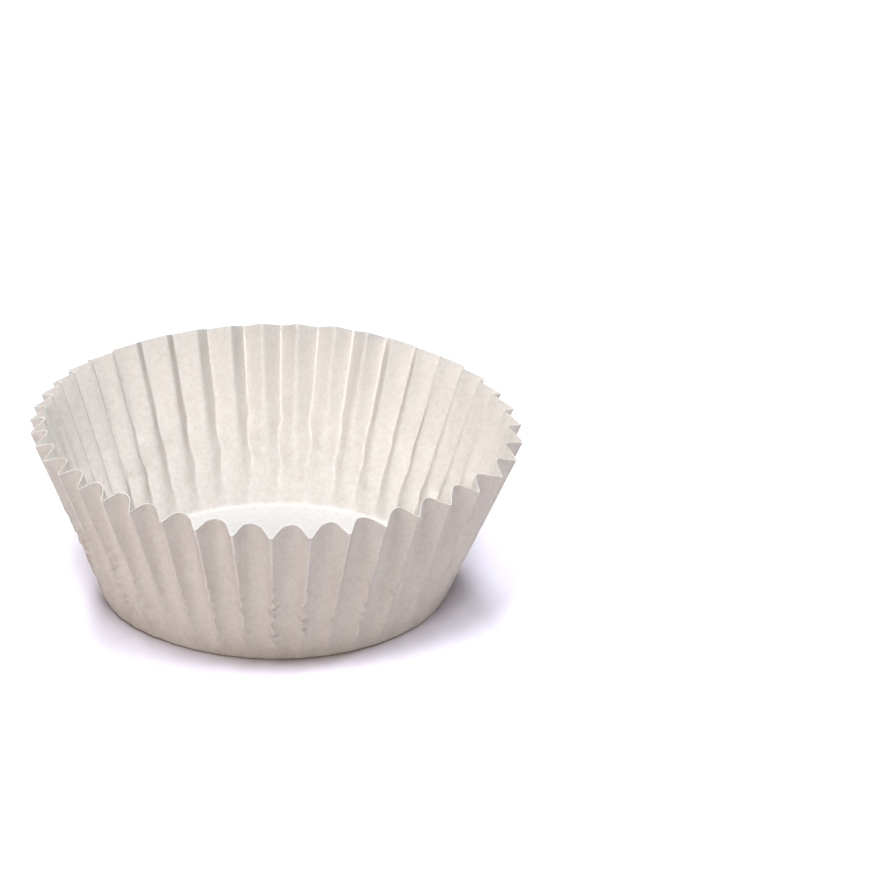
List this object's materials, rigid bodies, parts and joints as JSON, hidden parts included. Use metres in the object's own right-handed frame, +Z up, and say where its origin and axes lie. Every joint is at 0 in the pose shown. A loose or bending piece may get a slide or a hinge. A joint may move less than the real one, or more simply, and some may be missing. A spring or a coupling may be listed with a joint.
{
  "type": "cupcake liner",
  "caption": "Paper cupcake liner: a flat round base folded up into a pleated, outward-leaning wall with a scalloped rim, open at the top.",
  "frame": {"origin": "centre of the underside of the flat base, on the plane that the liner stands on", "axes": "+Z up through the open top, along the axis of the cup; +X through the middle of one groove of the wall"},
  "size_m": [0.071, 0.071, 0.0258],
  "materials": {
    "paper": "matte off-white greaseproof paper"
  },
  "bodies": {
    "root": {"liner": "paper"}
  },
  "joints": []
}
